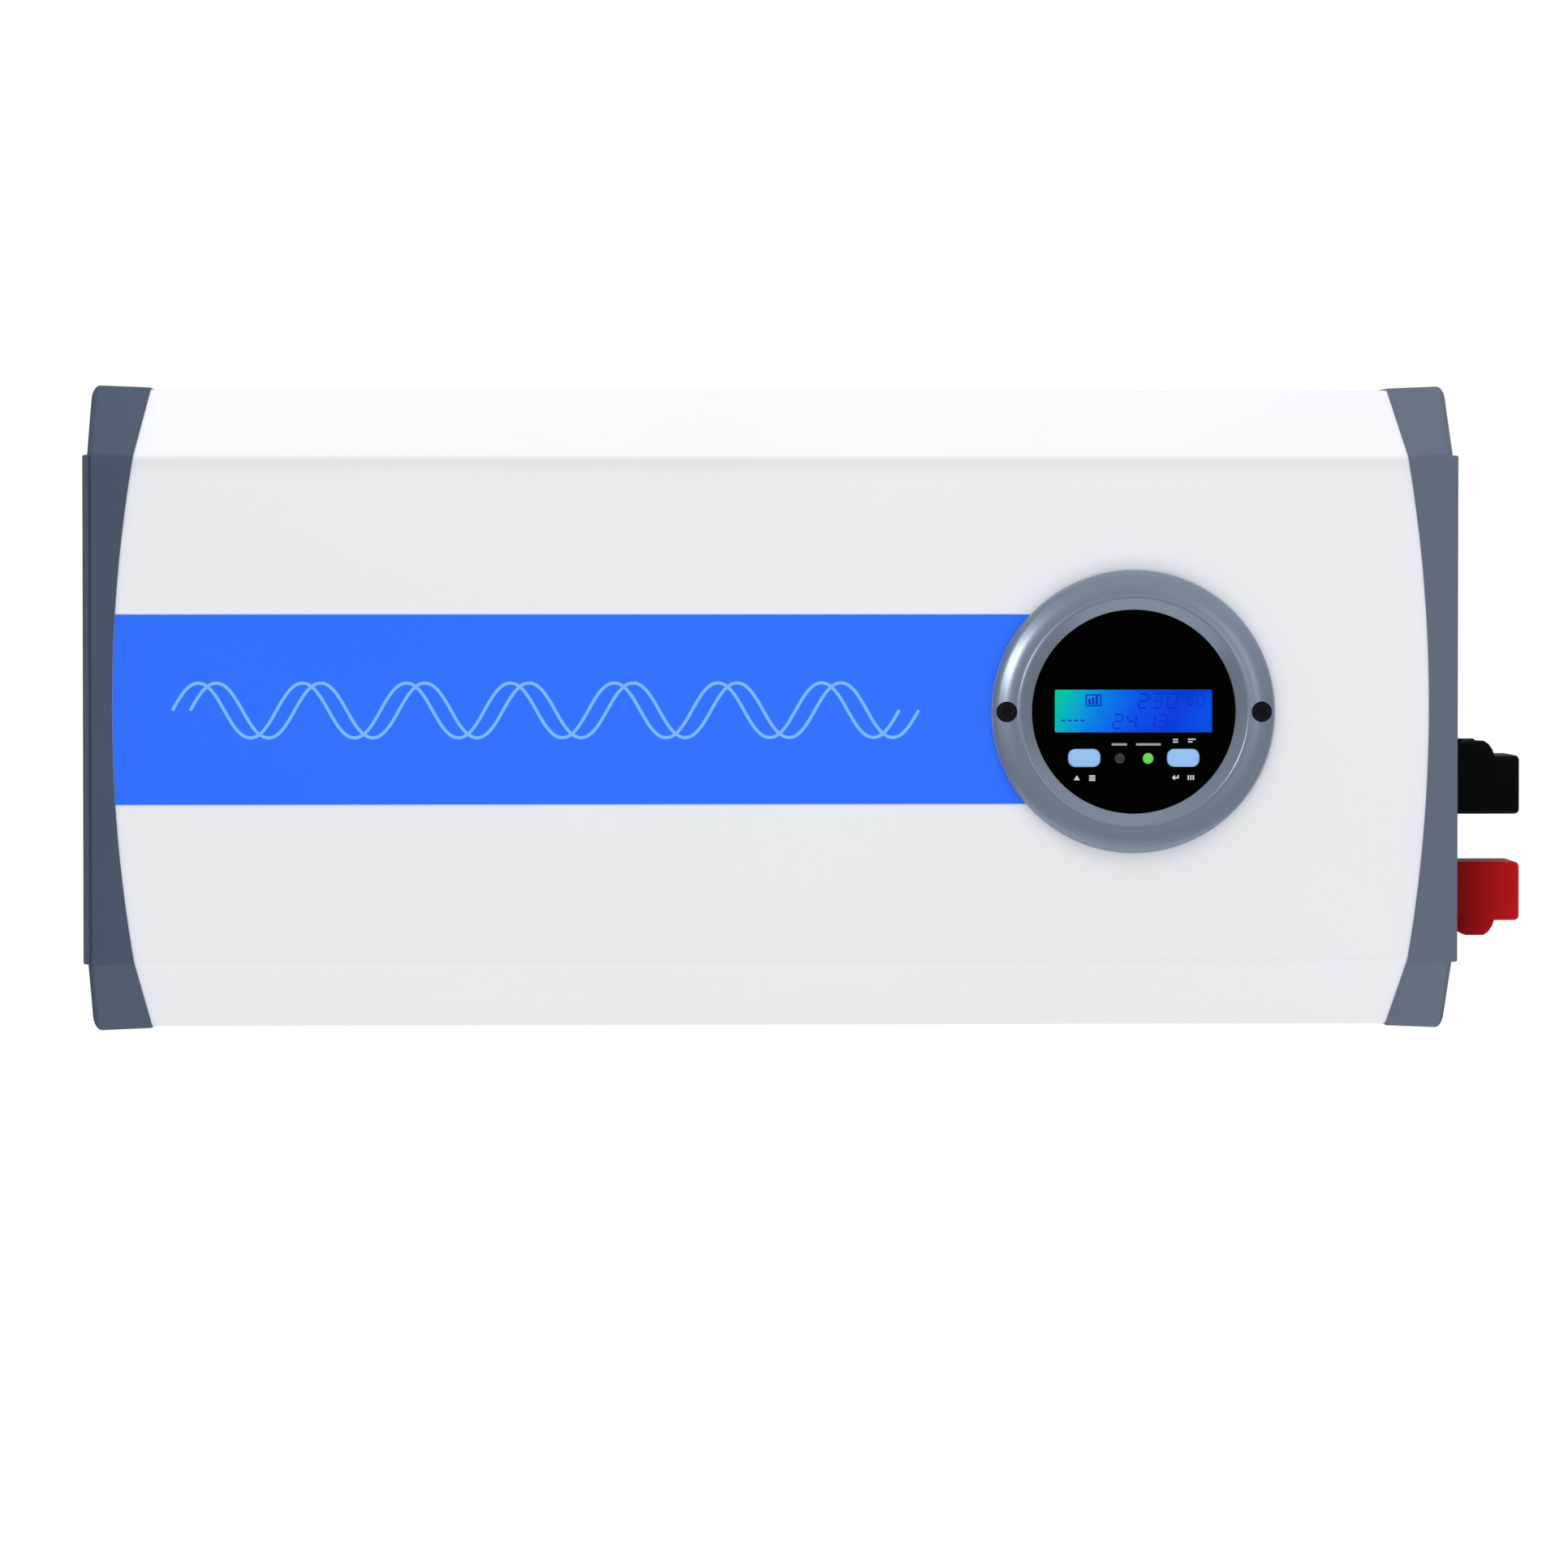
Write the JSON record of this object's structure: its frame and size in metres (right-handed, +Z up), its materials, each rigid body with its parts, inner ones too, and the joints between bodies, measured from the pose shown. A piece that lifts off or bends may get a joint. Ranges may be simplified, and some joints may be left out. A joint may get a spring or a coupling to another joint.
{
  "type": "power inverter",
  "caption": "Wall-mounted power inverter: white extruded case with curved grey end caps, blue front band, round display, AC sockets at the left, and battery terminals and fan at the right",
  "frame": {"origin": "centre of the four wall fixing holes, on the plane of the wall", "axes": "+X right along the case (towards the battery terminals), +Y towards the wall, +Z up; the display faces -Y"},
  "size_m": [0.5221, 0.123, 0.233],
  "materials": {
    "white_paint": "satin powder coat",
    "bare_aluminium": "fine extruded, satin",
    "slate_plastic": "satin moulded",
    "dark_panel": "fine black powder coat",
    "black_screws": "black oxide",
    "zinc_steel": "bright zinc plate",
    "blue_label": "printed film, satin",
    "bezel_grey": "satin metallic grey",
    "window_black": "polished black acrylic",
    "clear_lens": "clear",
    "lcd_blue": "backlit blue",
    "button_blue": "translucent pale blue",
    "lamp_dark": "unlit lamp",
    "lamp_green": "lit lamp",
    "black_rubber": "matt",
    "black_plastic": "fine moulded",
    "dark_grey_plastic": "moulded",
    "black_cover_plastic": "semi-gloss",
    "red_plastic": "semi-gloss",
    "rocker_red": "gloss",
    "green_plastic": "moulded",
    "circuit_board": "solder resist",
    "brass_metal": "turned",
    "copper": "rolled copper",
    "ferrite": "sintered ferrite",
    "capacitor_sleeve": "printed sleeve",
    "component_plastic": "moulded"
  },
  "bodies": {
    "case": {"front_shell": "white_paint", "heat_sink_base": "bare_aluminium", "shell_screws": "zinc_steel", "front_label": "blue_label", "left_end_cap": "slate_plastic", "right_end_cap": "slate_plastic", "left_end_panel": "dark_panel", "right_end_panel": "dark_panel", "left_cap_screws": "black_screws", "right_cap_screws": "black_screws", "display_bezel": "bezel_grey", "bezel_screws": "black_screws", "display_window": "window_black", "display_gasket": "black_rubber", "display_carrier": "black_plastic", "display_board": "circuit_board", "lcd_lens": "clear_lens", "lcd_glass": "lcd_blue", "lcd_frame": "zinc_steel", "tact_switches": "black_plastic", "fault_lamp": "lamp_dark", "working_lamp": "lamp_green", "ac_socket_upper": "black_plastic", "ac_socket_lower": "black_plastic", "socket_earth_clips": "brass_metal", "rocker_switch_body": "black_plastic", "ac_terminal_block": "black_plastic", "ac_terminal_screws": "zinc_steel", "data_port": "zinc_steel", "remote_port": "green_plastic", "fan_frame": "black_plastic", "fan_stator": "copper", "fan_guard": "zinc_steel", "fan_screws": "zinc_steel", "negative_base": "black_cover_plastic", "negative_stud": "brass_metal", "negative_nuts": "zinc_steel", "negative_hinge_pin": "black_screws", "positive_base": "red_plastic", "positive_stud": "brass_metal", "positive_nuts": "zinc_steel", "positive_hinge_pin": "black_screws", "battery_busbars": "copper", "earth_screw": "brass_metal", "main_board": "circuit_board", "board_fixings": "brass_metal", "heat_bars": "bare_aluminium", "power_transistors": "black_plastic", "transformer_cores": "ferrite", "transformer_windings": "copper", "capacitors": "capacitor_sleeve", "filter_chokes": "copper", "board_components": "component_plastic", "control_board": "circuit_board"},
    "select_button": {"select_button": "button_blue"},
    "enter_button": {"enter_button": "button_blue"},
    "rocker": {"power_rocker": "rocker_red"},
    "rotor": {"fan_rotor": "dark_grey_plastic"},
    "negative_cover": {"negative_cover": "black_cover_plastic"},
    "positive_cover": {"positive_cover": "red_plastic"}
  },
  "joints": [
    {"name": "select_button_press", "type": "slide", "parent": "case", "child": "select_button", "axis": [0, 1, 0], "range_m": [0, 0.0008], "stiffness_N_per_m": 400, "springref_m": -0.0005},
    {"name": "enter_button_press", "type": "slide", "parent": "case", "child": "enter_button", "axis": [0, 1, 0], "range_m": [0, 0.0008], "stiffness_N_per_m": 400, "springref_m": -0.0005},
    {"name": "power_rocker_tilt", "type": "hinge", "parent": "case", "child": "rocker", "pos_m": [-0.2385, -0.06, -0.034], "axis": [0, -1, 0], "range_deg": [0, 22]},
    {"name": "fan_spin", "type": "hinge", "parent": "case", "child": "rotor", "pos_m": [0.225, -0.0625, 0.051], "axis": [1, 0, 0], "continuous": true},
    {"name": "negative_cover_hinge", "type": "hinge", "parent": "case", "child": "negative_cover", "pos_m": [0.2605, -0.06, -0.0179], "axis": [0, -1, 0], "range_deg": [0, 100]},
    {"name": "positive_cover_hinge", "type": "hinge", "parent": "case", "child": "positive_cover", "pos_m": [0.2605, -0.06, -0.0789], "axis": [0, 1, 0], "range_deg": [0, 100]}
  ]
}
